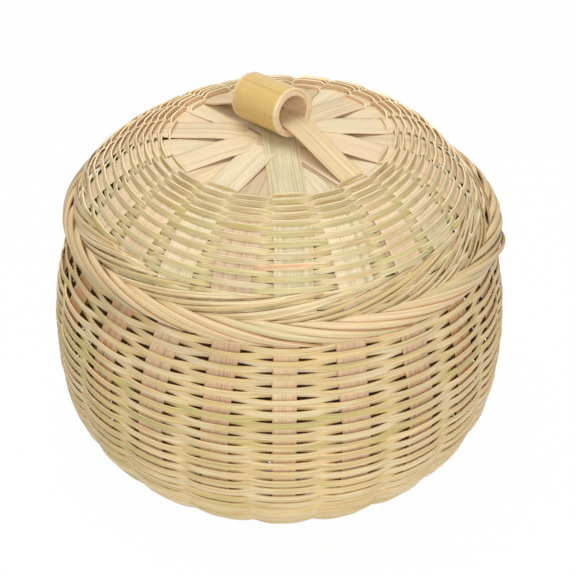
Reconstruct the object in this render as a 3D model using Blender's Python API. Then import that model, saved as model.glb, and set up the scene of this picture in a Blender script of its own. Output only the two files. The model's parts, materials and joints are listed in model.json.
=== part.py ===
"""A round lidded bamboo basket, built the way it is woven.

The body and the lid each start from flat bamboo strips that cross at the middle.
On the body the strips cross under the base and turn up as the wall's stakes.
On the lid they cross on the crown and run down the dome to its rim.
Thin weavers run round over the stakes: their closed mass is one shell for the base,
three for the side, from the foot to the mouth, and one for the dome. These shells bulge
over each stake and sink between two. A plaited border closes the mouth of the body,
and another one hangs round the foot of the lid and fits over the mouth.
A bent strap crosses the crown and carries a loose rolled tube, which is the grip.

The origin is at the middle of the base, on the surface that the basket stands on.
+Z is up and -Y is the front. Azimuths are measured from the front towards +X.
"""

import math

import bmesh
import bpy
from mathutils import Vector

MM = 0.001

# Clearances
FIT = 0.3 * MM                   # between pieces that touch
STAKE_GAP = 0.45 * MM            # between a weave and the flat strips that it holds

# Crossing strips
STRIPS = 11                      # in the body, and as many in the lid
STRIP_THICK = 0.6 * MM
BODY_STRIP_WIDTH = 17.0 * MM
LID_STRIP_WIDTH = 20.0 * MM
BODY_TURN = 1.0                  # azimuth of the body's front stake, in degrees
LID_TURN = 5.0                   # azimuth of the lid's front stake, in degrees
BODY_FRONT_STRIP = 9             # number of the strip that points to the front
LID_FRONT_STRIP = 7              # number of the strip that points to the front
REACH_MARGIN = 0.5 * MM          # past the last point where two strips cross
PART_RUN = 10.0 * MM             # where neighbours that have parted come level

# Body
WEAVE_THICK = 2.4 * MM
WEAVE_SINK = 0.5                 # of its thickness, how far it sinks between two stakes
FOOT_RADIUS = 90.0 * MM
FOOT_REACH = 32.0 * MM           # how far the base runs out nearly flat
FOOT_RISE = 3.0 * MM
BELLY_RADIUS = 148.8 * MM
BELLY_HEIGHT = 76.0 * MM
BELLY_DROP = 46.0 * MM           # upright run below the belly
BELLY_LIFT = 30.0 * MM           # upright run above the belly
MOUTH_INSET = 13.9 * MM          # the mouth is this much narrower than the belly, per side
MOUTH_HEIGHT = 163.2 * MM
MOUTH_LEAN_IN = 9.1 * MM         # inward lean of the wall over the last run
MOUTH_LEAN_RUN = 31.0 * MM
BASE_WEAVE_MARGIN = 1.0 * MM     # from where the strips part to the first weaver
BODY_BORDER_HEIGHT = 6.9 * MM
BODY_BORDER_DEPTH = 6.0 * MM

# Lid
LID_BORDER_HEIGHT = 9.0 * MM
LID_BORDER_DEPTH = 4.4 * MM
LID_FOOT_LAP = 0.7 * MM          # the dome's foot stands this far onto its border
LID_RISE = 48.0 * MM             # from the dome's foot to the crown
CROWN_MARGIN = 1.7 * MM          # from where the strips part to the first weaver
CROWN_WEAVE_THICK = 1.4 * MM     # the weave starts thin at the crown
STACK_RISE = 2.2 * MM            # the stack of strips stands up at its middle
DOME_FOOT_LEAN = 4.0 * MM        # the dome leaves its foot nearly upright
DOME_FOOT_RUN = 14.0 * MM
DOME_CROWN_RUN = 32.0 * MM       # and reaches the crown flat

# Handle
HANDLE_TURN = 40.0               # azimuth of the strap's front end, in degrees
STRAP_WIDTH = 16.0 * MM
STRAP_THICK = 1.0 * MM
STRAP_REST_RUN = 6.0 * MM        # each end lies flat on the crown over this length
STRAP_END_SLOPE = 12.0           # degrees, where the strap lifts off the crown
STRAP_BEND_RUN = 14.0 * MM       # length of the bend at the roll's front mouth
STRAP_RAMP_RUN = 20.0 * MM
ROLL_LENGTH = 40.0 * MM
ROLL_BORE = 10.6 * MM            # radius
ROLL_WALL = 3.6 * MM
ROLL_LAP = 113.0                 # degrees of the roll that lie double
ROLL_END_THICK = 0.9 * MM        # both ends are pared thin where they lap
ROLL_START_THICK = 1.6 * MM
ROLL_SEAM = 133.0                # seam, in degrees from the right, seen from the front
ROLL_SHIFT = -10.0 * MM          # the roll has slid back along the strap
ROLL_TILT = 5.0                  # front end up, in degrees
STRAP_BELOW_AXIS = 5.7 * MM      # the strap lies low in the bore

# Fineness of the curves
SIDES_PER_STAKE = 2
FOOT_STEPS = 8
FOOT_BAND_STEPS = 4              # of them, those of the lowest band of the side weave
WALL_STEPS = 5
DOME_STEPS = 8
STRAP_STEPS = 6
ROLL_STEP = 12.0                 # degrees
BORDER_CHAMFER = 0.8 * MM
AXIS_MARK = 20.0 * MM            # drawn size of an empty

# Worked out
MOUTH_RADIUS = BELLY_RADIUS - MOUTH_INSET
STAKES = 2 * STRIPS
STAKE_TURN = 2 * math.pi / STAKES
SIDES = STAKES * SIDES_PER_STAKE
STRIP_PITCH = STRIP_THICK + FIT
STRIP_DEPTH = STAKE_GAP + STRIP_THICK / 2
LID_FOOT_HEIGHT = MOUTH_HEIGHT + FIT + BODY_BORDER_HEIGHT + FIT
LID_BORDER_BOTTOM = LID_FOOT_HEIGHT - FIT - LID_BORDER_HEIGHT
CROWN_HEIGHT = LID_FOOT_HEIGHT + LID_RISE
FRONT_HALF_TURN = -math.pi / 2   # turns a piece that lies along +X to the front


def neighbour_radius(width):
    """Radius at which neighbouring strips part."""
    return width / 2 / math.sin(STAKE_TURN / 2)


def neighbour_reach(width):
    """How far along a strip its neighbours lie over it."""
    return width / 2 / math.tan(STAKE_TURN / 2) + REACH_MARGIN


def second_reach(width):
    """How far along a strip its second neighbours lie over it."""
    return width / 2 / math.tan(STAKE_TURN) + REACH_MARGIN


BASE_WEAVE_RADIUS = neighbour_radius(BODY_STRIP_WIDTH) + BASE_WEAVE_MARGIN
CROWN_RADIUS = neighbour_radius(LID_STRIP_WIDTH) + CROWN_MARGIN


def stack_order(front_strip):
    """Strip numbers from the bottom of the stack to its top, where the front strip lies.

    Every second strip lies over its neighbours. With an odd count the last strip
    and the first one are neighbours too, so the last one goes under them all.
    """
    low = [number for number in range(STRIPS) if number % 2 == 0]
    high = [number for number in range(STRIPS) if number % 2 == 1]
    if STRIPS % 2:
        low = low[-1:] + low[:-1]
    return sorted(low + high, key=lambda number: number == front_strip)


def neighbour_place(number):
    """Place of a strip where only its two neighbours cross it: 0, 1 or 2."""
    if number % 2:
        return 2
    return 0 if STRIPS % 2 and number == STRIPS - 1 else 1


def bezier(start, start_handle, end_handle, end, steps):
    """Stations (r, z, normal r, normal z) on a curve whose right-hand side is outside."""
    stations = []
    for step in range(steps + 1):
        t = step / steps
        u = 1 - t
        weights = (u * u * u, 3 * u * u * t, 3 * u * t * t, t * t * t)
        slopes = (-u * u, u * u - 2 * u * t, 2 * u * t - t * t, t * t)
        corners = (start, start_handle, end_handle, end)
        r, z = (sum(w * c[axis] for w, c in zip(weights, corners)) for axis in (0, 1))
        dr, dz = (sum(w * c[axis] for w, c in zip(slopes, corners)) for axis in (0, 1))
        length = math.hypot(dr, dz)
        stations.append((r, z, dz / length, -dr / length))
    return stations


def body_outline():
    """Outside of the side weave, from the foot up to the mouth."""
    belly = (BELLY_RADIUS, BELLY_HEIGHT)
    foot = bezier(
        (FOOT_RADIUS, 0.0),
        (FOOT_RADIUS + FOOT_REACH, FOOT_RISE),
        (BELLY_RADIUS, BELLY_HEIGHT - BELLY_DROP),
        belly,
        FOOT_STEPS,
    )
    wall = bezier(
        belly,
        (BELLY_RADIUS, BELLY_HEIGHT + BELLY_LIFT),
        (MOUTH_RADIUS + MOUTH_LEAN_IN, MOUTH_HEIGHT - MOUTH_LEAN_RUN),
        (MOUTH_RADIUS, MOUTH_HEIGHT),
        WALL_STEPS,
    )
    return foot + wall[1:]


def body_radius_at(height):
    """Outside radius of the wall at a height above the belly."""
    outline = body_outline()
    for (r0, z0, _, _), (r1, z1, _, _) in zip(outline, outline[1:]):
        if z0 <= height <= z1:
            return r0 + (r1 - r0) * (height - z0) / (z1 - z0)
    return MOUTH_RADIUS


LID_BORDER_INSIDE = body_radius_at(LID_BORDER_BOTTOM) + FIT
LID_FOOT_RADIUS = LID_BORDER_INSIDE + LID_FOOT_LAP


def lid_outline():
    """Outside of the lid's weave, from its foot up to the crown."""
    return bezier(
        (LID_FOOT_RADIUS, LID_FOOT_HEIGHT),
        (LID_FOOT_RADIUS - DOME_FOOT_LEAN, LID_FOOT_HEIGHT + DOME_FOOT_RUN),
        (CROWN_RADIUS + DOME_CROWN_RUN, CROWN_HEIGHT),
        (CROWN_RADIUS, CROWN_HEIGHT),
        DOME_STEPS,
    )


def parted(radius, start):
    """0 where neighbouring strips still cross, 1 where they have come level."""
    return min(max((radius - start) / PART_RUN, 0.0), 1.0)


def lid_weave_thickness(radius):
    extra = WEAVE_THICK - CROWN_WEAVE_THICK
    return CROWN_WEAVE_THICK + extra * parted(radius, CROWN_RADIUS)


def inside(station, depth):
    """The point that lies a depth below a station of an outline."""
    r, z, nr, nz = station
    return (r - nr * depth, z - nz * depth)


def inside_at_height(station, depth, height):
    """As inside, but on the slanting inner face at a given height."""
    r, z, nr, _ = station
    return (r - depth / nr, height)


def add_object(name, mesh, colour, roughness, parent=None):
    """Put a mesh in the scene with a material of its own."""
    material = bpy.data.materials.new(name + "_finish")
    material.use_nodes = True
    shader = material.node_tree.nodes["Principled BSDF"]
    shader.inputs["Base Color"].default_value = (*colour, 1.0)
    shader.inputs["Roughness"].default_value = roughness
    shader.inputs["Metallic"].default_value = 0.0
    mesh.materials.append(material)
    piece = bpy.data.objects.new(name, mesh)
    bpy.context.scene.collection.objects.link(piece)
    piece.parent = parent
    return piece


def add_axis(name, location, rotation=(0.0, 0.0, 0.0), parent=None):
    """An empty that carries the pieces which move about or along it."""
    axis = bpy.data.objects.new(name, None)
    axis.empty_display_size = AXIS_MARK
    axis.location = location
    axis.rotation_euler = rotation
    axis.parent = parent
    bpy.context.scene.collection.objects.link(axis)
    return axis


def closed_mesh(name, rings, joined):
    """A mesh through rings of points: joined end to end, or capped at both ends."""
    bm = bmesh.new()
    loops = [[bm.verts.new(point) for point in ring] for ring in rings]
    pairs = list(zip(loops, loops[1:]))
    if joined:
        pairs.append((loops[-1], loops[0]))
    else:
        bm.faces.new(loops[0])
        bm.faces.new(loops[-1])
    for near, far in pairs:
        for index in range(len(near)):
            after = (index + 1) % len(near)
            bm.faces.new((near[index], near[after], far[after], far[index]))
    bmesh.ops.recalc_face_normals(bm, faces=bm.faces)
    mesh = bpy.data.meshes.new(name)
    bm.to_mesh(mesh)
    bm.free()
    mesh.shade_smooth()
    mesh.set_sharp_from_angle(angle=math.radians(35))
    return mesh


def turned_mesh(name, section, turn, gap_section=None):
    """A closed section turned round Z, with one flat facet facing each stake.

    With a second section for the middle of each gap, the facets are folded
    over the stakes and between them.
    """
    spread = 1 / math.cos(math.pi / SIDES)
    rings = []
    for half_side in range(2 * SIDES):
        on_edge = half_side % 2 == 1
        if gap_section is None and not on_edge:
            continue
        angle = math.radians(turn) + FRONT_HALF_TURN + half_side * math.pi / SIDES
        across = Vector((math.cos(angle), math.sin(angle), 0.0)) * (spread if on_edge else 1.0)
        share = (1 - math.cos(STAKES * half_side * math.pi / SIDES)) / 2
        ring = []
        for (r, z), (gap_r, gap_z) in zip(section, gap_section or section):
            height = z + (gap_z - z) * share
            ring.append(across * (r + (gap_r - r) * share) + Vector((0.0, 0.0, height)))
        rings.append(ring)
    return closed_mesh(name, rings, joined=True)


def strip_mesh(name, path, width, thicknesses):
    """A flat strip that bends along a path in the XZ plane, its width along Y."""
    rings = []
    for index, (x, z) in enumerate(path):
        before = Vector(path[max(index - 1, 0)])
        after = Vector(path[min(index + 1, len(path) - 1)])
        along = (after - before).normalized()
        normal = Vector((-along.y, along.x)) * thicknesses[index] / 2
        ring = []
        for side, half in ((1, -1), (-1, -1), (-1, 1), (1, 1)):
            ring.append((x + normal.x * side, half * width / 2, z + normal.y * side))
        rings.append(ring)
    return closed_mesh(name, rings, joined=False)


def mirrored(half):
    """A path from the middle outwards, doubled to run from end to end."""
    return [(-x, z) for x, z in reversed(half)] + list(half)


def strip_azimuth(number, front_strip, turn):
    return math.radians(turn) + (number - front_strip) * STAKE_TURN


# Body


def body_strip_path(number):
    """Half of a strip: out under the base, round the foot and up the wall."""
    bed = WEAVE_THICK + STRIP_DEPTH
    stacked = bed + stack_order(BODY_FRONT_STRIP).index(number) * STRIP_PITCH
    crossed = bed + neighbour_place(number) * STRIP_PITCH
    start = second_reach(BODY_STRIP_WIDTH)
    end = neighbour_reach(BODY_STRIP_WIDTH)
    half = [(start, stacked), (end, crossed), (end + PART_RUN, bed)]
    outline = body_outline()
    half += [inside(station, WEAVE_THICK + STRIP_DEPTH) for station in outline[:-1]]
    half.append(inside_at_height(outline[-1], WEAVE_THICK + STRIP_DEPTH, MOUTH_HEIGHT))
    return half


def make_body_strips():
    for number in range(STRIPS):
        name = f"body_strip_{number + 1:02d}"
        path = mirrored(body_strip_path(number))
        mesh = strip_mesh(name, path, BODY_STRIP_WIDTH, [STRIP_THICK] * len(path))
        strip = add_object(name, mesh, (0.62, 0.43, 0.27), 0.6)
        azimuth = strip_azimuth(number, BODY_FRONT_STRIP, BODY_TURN)
        strip.rotation_euler.z = FRONT_HALF_TURN + azimuth


def make_base_weave():
    """Weavers of the base: a flat ring under the strips, round the bare middle."""
    outer = FOOT_RADIUS - FIT
    section = [
        (BASE_WEAVE_RADIUS, 0.0),
        (outer, 0.0),
        (outer, WEAVE_THICK),
        (BASE_WEAVE_RADIUS, WEAVE_THICK),
    ]
    mesh = turned_mesh("base_weave", section, BODY_TURN)
    add_object("base_weave", mesh, (0.66, 0.55, 0.30), 0.55)


def band_section(stations, last, sink):
    """A band of the side weave. Each band but the last stops short of the next one."""
    outer = [inside(station, sink) for station in stations]
    inner = [inside(station, WEAVE_THICK) for station in stations]
    if last:
        outer[-1] = inside_at_height(stations[-1], sink, MOUTH_HEIGHT)
        inner[-1] = inside_at_height(stations[-1], WEAVE_THICK, MOUTH_HEIGHT)
    else:
        back_r = stations[-1][3] * FIT
        back_z = -stations[-1][2] * FIT
        outer[-1] = (outer[-1][0] + back_r, outer[-1][1] + back_z)
        inner[-1] = (inner[-1][0] + back_r, inner[-1][1] + back_z)
    if stations[0][0] == FOOT_RADIUS:
        inner[0] = (FOOT_RADIUS, WEAVE_THICK)
    return outer + inner[::-1]


def make_side_weave():
    """Weavers of the side in three bands: round the foot, up to the belly, to the mouth."""
    outline = body_outline()
    belly = FOOT_STEPS
    bands = {
        "side_weave_foot": outline[: FOOT_BAND_STEPS + 1],
        "side_weave_lower": outline[FOOT_BAND_STEPS : belly + 1],
        "side_weave_upper": outline[belly:],
    }
    for name, stations in bands.items():
        last = name == "side_weave_upper"
        section = band_section(stations, last, 0.0)
        gap_section = band_section(stations, last, WEAVE_SINK * WEAVE_THICK)
        mesh = turned_mesh(name, section, BODY_TURN, gap_section)
        add_object(name, mesh, (0.68, 0.58, 0.32), 0.5)


def border_section(inner, outer, bottom, top):
    """A band with its corners taken off."""
    cut = BORDER_CHAMFER
    return [
        (inner + cut, bottom),
        (outer - cut, bottom),
        (outer, bottom + cut),
        (outer, top - cut),
        (outer - cut, top),
        (inner + cut, top),
        (inner, top - cut),
        (inner, bottom + cut),
    ]


def make_body_border():
    """Plaited edge of the mouth, hidden inside the lid's border when it is shut."""
    bottom = MOUTH_HEIGHT + FIT
    inner = MOUTH_RADIUS - BODY_BORDER_DEPTH
    section = border_section(inner, MOUTH_RADIUS, bottom, bottom + BODY_BORDER_HEIGHT)
    mesh = turned_mesh("body_border", section, BODY_TURN)
    add_object("body_border", mesh, (0.68, 0.56, 0.34), 0.5)


# Lid, built about its own axis and at its height on the body


def lowered(points):
    """Points of the lid as seen from the empty that carries it."""
    return [(x, z - LID_FOOT_HEIGHT) for x, z in points]


def crown_strip_height(number):
    """Middle of a strip at the edge of the crown."""
    top = CROWN_HEIGHT - CROWN_WEAVE_THICK - STRIP_DEPTH
    return top - (2 - neighbour_place(number)) * STRIP_PITCH


def crown_stack_height(number):
    """Middle of a strip where all strips cross, a stack that rises at the centre."""
    top = crown_strip_height(LID_FRONT_STRIP) + STACK_RISE
    above = STRIPS - 1 - stack_order(LID_FRONT_STRIP).index(number)
    return top - above * STRIP_PITCH


def lid_strip_path(number):
    """Half of a strip: over the crown and down the dome to its foot."""
    start = second_reach(LID_STRIP_WIDTH)
    end = neighbour_reach(LID_STRIP_WIDTH)
    half = [(start, crown_stack_height(number)), (end, crown_strip_height(number))]
    outline = lid_outline()
    drop = (2 - neighbour_place(number)) * STRIP_PITCH
    for station in reversed(outline[1:]):
        depth = lid_weave_thickness(station[0]) + STRIP_DEPTH
        depth += drop * (1 - parted(station[0], end))
        half.append(inside(station, depth))
    half.append(inside_at_height(outline[0], WEAVE_THICK + STRIP_DEPTH, LID_FOOT_HEIGHT))
    return half


def make_lid_strips(lid):
    for number in range(STRIPS):
        name = f"lid_strip_{number + 1:02d}"
        path = lowered(mirrored(lid_strip_path(number)))
        mesh = strip_mesh(name, path, LID_STRIP_WIDTH, [STRIP_THICK] * len(path))
        strip = add_object(name, mesh, (0.64, 0.49, 0.30), 0.6, lid)
        azimuth = strip_azimuth(number, LID_FRONT_STRIP, LID_TURN)
        strip.rotation_euler.z = FRONT_HALF_TURN + azimuth


def lid_weave_side(share):
    """The lid's weave at a share of its thickness below the outside, from its foot up."""
    foot, *stations = lid_outline()
    side = [inside_at_height(foot, share * WEAVE_THICK, LID_FOOT_HEIGHT)]
    for station in stations:
        side.append(inside(station, share * lid_weave_thickness(station[0])))
    return side


def make_lid_weave(lid):
    """Weavers of the dome, from its foot to the edge of the crown."""
    inner = lid_weave_side(1.0)[::-1]
    section = lowered(lid_weave_side(0.0) + inner)
    gap_section = lowered(lid_weave_side(WEAVE_SINK) + inner)
    mesh = turned_mesh("lid_weave", section, LID_TURN, gap_section)
    add_object("lid_weave", mesh, (0.68, 0.58, 0.34), 0.5, lid)


def make_lid_border(lid):
    """Plaited border that hangs round the foot of the dome and fits over the mouth."""
    top = LID_BORDER_BOTTOM + LID_BORDER_HEIGHT
    outer = LID_BORDER_INSIDE + LID_BORDER_DEPTH
    section = border_section(LID_BORDER_INSIDE, outer, LID_BORDER_BOTTOM, top)
    mesh = turned_mesh("lid_border", lowered(section), BODY_TURN)
    add_object("lid_border", mesh, (0.72, 0.58, 0.38), 0.5, lid)


# Handle


def crown_top():
    """Top of the stack of strips at the middle of the crown."""
    return crown_stack_height(LID_FRONT_STRIP) + STRIP_THICK / 2


def roll_radius(turned):
    """Inner and outer radius of the roll after some degrees, from its inner end."""
    full = ROLL_BORE + ROLL_WALL
    if turned < ROLL_LAP:
        share = turned / ROLL_LAP
        return ROLL_BORE, ROLL_BORE + ROLL_START_THICK + share * (ROLL_WALL - ROLL_START_THICK)
    if turned < 360:
        return ROLL_BORE, full
    inner = roll_radius(turned - 360)[1] if turned < 360 + ROLL_LAP else full
    share = (turned - 360) / ROLL_LAP
    thick = ROLL_WALL + share * (ROLL_END_THICK - ROLL_WALL)
    inner += FIT
    return inner, max(inner + ROLL_END_THICK, min(full + share * FIT, inner + thick))


def roll_outside():
    return ROLL_BORE + ROLL_WALL + FIT + ROLL_END_THICK


def roll_place():
    """Middle of the roll: its back end just clears the crown."""
    tilt = math.radians(ROLL_TILT)
    rise = roll_outside() * math.cos(tilt) + ROLL_LENGTH / 2 * math.sin(tilt)
    return ROLL_SHIFT, crown_top() + FIT + rise


def strap_path():
    """From the back edge of the crown, through the roll, to the front edge."""
    tilt = math.radians(ROLL_TILT)
    middle, height = roll_place()
    end = math.sqrt((CROWN_RADIUS - FIT) ** 2 - (STRAP_WIDTH / 2) ** 2) - FIT
    highest = crown_strip_height(LID_FRONT_STRIP)
    rest = highest + STRIP_THICK / 2 + FIT + STRAP_THICK / 2

    def in_bore(along):
        x = middle + along * math.cos(tilt) + STRAP_BELOW_AXIS * math.sin(tilt)
        return x, height + along * math.sin(tilt) - STRAP_BELOW_AXIS * math.cos(tilt)

    def off_crown(sign, run):
        slope = math.radians(STRAP_END_SLOPE)
        x = end - STRAP_REST_RUN - run * math.cos(slope)
        return sign * x, rest + run * math.sin(slope)

    def curve(start, start_handle, end_handle, finish):
        stations = bezier(start, start_handle, end_handle, finish, STRAP_STEPS)
        return [(x, z) for x, z, _, _ in stations]

    back = in_bore(-ROLL_LENGTH / 2)
    front = in_bore(ROLL_LENGTH / 2 - STRAP_BEND_RUN / 4)
    before_back = in_bore(-ROLL_LENGTH / 2 - STRAP_RAMP_RUN / 2)
    past_front = in_bore(ROLL_LENGTH / 2 + STRAP_BEND_RUN)
    rise = curve(off_crown(-1, 0.0), off_crown(-1, STRAP_RAMP_RUN / 2), before_back, back)
    fall = curve(front, past_front, off_crown(1, STRAP_RAMP_RUN), off_crown(1, 0.0))
    return [(-end, rest)] + rise + fall + [(end, rest)]


def make_strap(lid):
    """Bent strip whose ends lie on the crown and stop against the first weaver."""
    path = lowered(strap_path())
    mesh = strip_mesh("handle_strap", path, STRAP_WIDTH, [STRAP_THICK] * len(path))
    strap = add_object("handle_strap", mesh, (0.72, 0.55, 0.34), 0.5, lid)
    strap.rotation_euler.z = FRONT_HALF_TURN + math.radians(HANDLE_TURN)


def make_roll(lid):
    """Thick piece of bamboo rolled up so that its ends lap, loose on the strap."""
    middle, height = roll_place()
    azimuth = math.radians(HANDLE_TURN)
    centre = (middle * math.sin(azimuth), -middle * math.cos(azimuth), height - LID_FOOT_HEIGHT)
    rotation = (math.radians(ROLL_TILT), 0.0, azimuth + math.pi)
    axis = add_axis("roll_axis", centre, rotation, lid)
    path = []
    thicknesses = []
    steps = round((360 + ROLL_LAP) / ROLL_STEP)
    for step in range(steps + 1):
        turned = step * (360 + ROLL_LAP) / steps
        inner, outer = roll_radius(turned)
        angle = math.radians(ROLL_SEAM - turned)
        middle_radius = (inner + outer) / 2
        path.append((-middle_radius * math.cos(angle), middle_radius * math.sin(angle)))
        thicknesses.append(outer - inner)
    mesh = strip_mesh("handle_roll", path, ROLL_LENGTH, thicknesses)
    add_object("handle_roll", mesh, (0.70, 0.55, 0.20), 0.35, axis)


def main():
    for old in list(bpy.data.objects):
        bpy.data.objects.remove(old, do_unlink=True)
    make_body_strips()
    make_base_weave()
    make_side_weave()
    make_body_border()
    lid = add_axis("lid_axis", (0.0, 0.0, LID_FOOT_HEIGHT))
    make_lid_strips(lid)
    make_lid_weave(lid)
    make_lid_border(lid)
    make_strap(lid)
    make_roll(lid)


main()
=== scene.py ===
"""Looks of a round lidded bamboo basket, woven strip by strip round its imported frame.

Lengths are in metres, azimuths in radians from the front (-Y) towards +X.
A wall is known by its outline: s is the distance along it, from the axis outwards,
and depth is the distance below its outside. Stakes are counted from the front one.
A tone is 0 for the warmest colour of a material and 1 for its greenest.
"""

import json
import math

import bpy
import numpy as np
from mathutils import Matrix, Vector


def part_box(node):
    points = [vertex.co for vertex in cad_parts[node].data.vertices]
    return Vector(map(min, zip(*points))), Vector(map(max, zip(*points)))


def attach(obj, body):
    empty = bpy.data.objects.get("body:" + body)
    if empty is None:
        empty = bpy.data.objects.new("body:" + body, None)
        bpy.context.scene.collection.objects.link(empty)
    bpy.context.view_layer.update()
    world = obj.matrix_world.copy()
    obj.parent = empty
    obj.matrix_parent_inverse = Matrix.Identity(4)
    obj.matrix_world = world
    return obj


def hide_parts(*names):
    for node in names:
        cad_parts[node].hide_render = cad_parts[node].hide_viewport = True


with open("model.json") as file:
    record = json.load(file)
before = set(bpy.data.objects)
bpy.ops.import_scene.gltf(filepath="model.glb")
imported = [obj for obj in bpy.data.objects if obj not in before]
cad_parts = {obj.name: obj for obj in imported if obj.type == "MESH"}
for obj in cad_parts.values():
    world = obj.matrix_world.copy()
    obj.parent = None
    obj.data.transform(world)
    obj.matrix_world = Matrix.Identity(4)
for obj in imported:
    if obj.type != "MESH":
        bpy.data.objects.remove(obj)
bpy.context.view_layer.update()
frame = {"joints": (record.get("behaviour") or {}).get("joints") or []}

MM = 0.001

# The walls' curves: radius and height of their Bezier handles, off the handles' corners
FOOT_HANDLE = (35.5 * MM, 3.5 * MM)
BELLY_LOWER_HANDLE = (0.0, -50.0 * MM)
BELLY_UPPER_HANDLE = (0.0, 30.0 * MM)
MOUTH_HANDLE = (9.1 * MM, -31.0 * MM)
DOME_TOP_HANDLE = (32.0 * MM, 0.0)
DOME_FOOT_HANDLE = (-4.0 * MM, 14.0 * MM)
CROWN_RADIUS = 72.0 * MM
CURVE_STEPS = 60
FLAT_STEPS = 40

# The rims' corners: radius and height, off the border's widest radius and its foot
RIM_ROUNDNESS = 0.55
RIM_STEPS = 20
LID_RIM_DEPTH = 0.2 * MM         # of its start below the dome's outside
LID_RIM_BULGE = (0.7 * MM, 6.8 * MM)
LID_RIM_EDGE = (-2.0 * MM, 2.4 * MM)
LID_RIM_INNER = (-3.9 * MM, 6.0 * MM)
BODY_RIM_START = (-0.6 * MM, -3.0 * MM)
BODY_RIM_BULGE = (0.0, 3.0 * MM)
BODY_RIM_EDGE = (-3.0 * MM, 0.0)     # off the border's top instead
BODY_RIM_INNER = (-6.0 * MM, 0.0)

# The lid and the mouth are a little out of round
RIM_OVAL = 4.5 * MM              # their left and right sides are drawn in
RIM_TURN = math.radians(25.0)    # the right side most of all behind its middle
RIM_SHIFT = 1.9 * MM             # they sit to the right
RIM_SHIFTS = ([0.0], [RIM_SHIFT])
NO_SHIFTS = ([0.0], [0.0])
RIM_LIFT = 5.5 * MM              # the edge of the lid's border lies higher at its left
LIFT_AT_START = 0.25             # share of the lift at the start of a wall
LID_OVAL_RUN = (60.0 * MM, 106.0 * MM)
LID_SHIFTS = ([110 * MM, 124 * MM, 142 * MM, 153 * MM], [0.0, -1.2 * MM, -1.2 * MM, RIM_SHIFT])
LID_BACK_SHIFTS = ([60 * MM, 85 * MM, 112 * MM, 132 * MM], [0.0, 6.0 * MM, 6.0 * MM, 0.0])
MOUTH_RUN = 28.0 * MM            # of the body's wall, below its mouth
EVERYWHERE = (-2.0, -1.0)        # a run that ends before any place on a wall

# Stakes
STAKES = 22
STRIPS = STAKES // 2
STAKE_TURN = 2 * math.pi / STAKES
STAKE_THICK = 0.6 * MM
STAKE_DEPTH = 1.75 * MM          # middle of the stakes below the outside of a wall
BODY_STRIP_WIDTH = 17.0 * MM
FRONT_STRIP_NARROWING = 0.84     # of the body's front strip
LID_STRIP_WIDTH = 21.2 * MM
STRIP_WIDTH_SPREAD = (0.97, 1.03)    # least and most of the named width, as for rows
MOUTH_SQUEEZE = 2.9              # degrees that the stakes lean to the front and back there
MOUTH_SQUEEZE_RUN = 60.0 * MM

# Weavers
WEAVER_THICK = 0.95 * MM
STEPS_PER_STAKE = 10
PINCH = 0.3                      # share of its width that a weaver loses behind a stake
FLAT_SHARE = 0.7                 # of a stake's width, on which a weaver lies flat
FLAT_LIMITS = (0.02, 0.4)        # of the way from one stake to the next
UNEVEN = (0.82, 1.18)            # least and most of how far weavers stand out
SAG = 0.16 * MM                  # spread of their places between two stakes
SWAY = 0.3 * MM
SWAY_HARMONICS = (2, 3, 5, 7)
TONE_SWAY = 0.4
TONE_HARMONICS = (2, 5, 9, 16)
HARMONIC_SIZES = (0.3, 1.0)
LEAN_BEHIND = 0.6                # share of its lean that a weaver has behind a stake
ROW_LAP = 0.3                    # stakes by which both ends of a row pass its start
TUCK_RUN = 0.4                   # stakes in which its end goes in under its start
TUCK_DEPTH = 1.2 * WEAVER_THICK
PLACE_SPREAD = 0.12 * MM

# Rows of the body, by their distance from the mouth
BODY_PITCH = 3.55 * MM           # of all but the uppermost
BODY_PITCHES = ([20 * MM, 45 * MM, 60 * MM], [4.0 * MM, 3.8 * MM, BODY_PITCH])
BODY_WIDTHS = ([55 * MM, 85 * MM, 120 * MM], [4.1 * MM, 4.6 * MM, 5.1 * MM])
BODY_WIDTH_SPREAD = (0.93, 1.05)
BODY_PINCHES = ([50 * MM, 85 * MM], [PINCH, 0.0])
BODY_UPRIGHT = 0.3
BODY_BEHIND = 1.1 * MM
BODY_OVER = ([0.0, 4 * MM], [0.9 * MM, 1.75 * MM])    # by the height of the row
BASE_OVER = 1.15 * MM
BODY_FIRST_ROW = 2.5 * MM        # past the mouth
BODY_LAST_ROW = 61.0 * MM        # from the axis
BODY_TONES = (0.3, 0.9)
BODY_LEFT_TONE = 0.4

# Rows of the lid
LID_ROWS = 26
THIN_ROW_WIDTH = 2.0 * MM        # of the first one
CREAM_ROWS = 8
LID_WARMEST = 0.3                # tone
BLUSH_ROW = 16                   # the lid's row that is salmon between two azimuths
BLUSH = (math.radians(-11.0), math.radians(10.0))
BLUSH_TONE = 0.06
LID_LAST_OPEN_ROW = 21           # the others lie under the border
LID_ROW_STEPS = [0, 1, 8, 25]    # rows whose distance from the edge of the crown is given
LID_ROW_PLACES = [-0.8 * MM, 4.2 * MM, 23.0 * MM, 78.8 * MM]
LID_WIDTHS = (3.75 * MM, 3.15 * MM)    # at the first and the last row
LID_WIDTH_SPREAD = (0.94, 1.08)
LID_OVERS = (1.9 * MM, 1.6 * MM)
LID_OVER_UNDER_BORDER = 0.9 * MM
LID_BEHIND = 1.0 * MM
LID_UPRIGHTS = (0.9, 0.3)
LID_FIRST_PINCH = 0.15           # share of the full pinch
LID_TONES = (0.2, 0.8)
CREAM_TONES = (0.35, 0.15)       # tone of a cream row: a part that all have and its own share
LID_SWAY = 3.5 * MM              # rows of the lid lie higher at its sides
LID_SWAY_TURN = math.radians(12.0)

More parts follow.
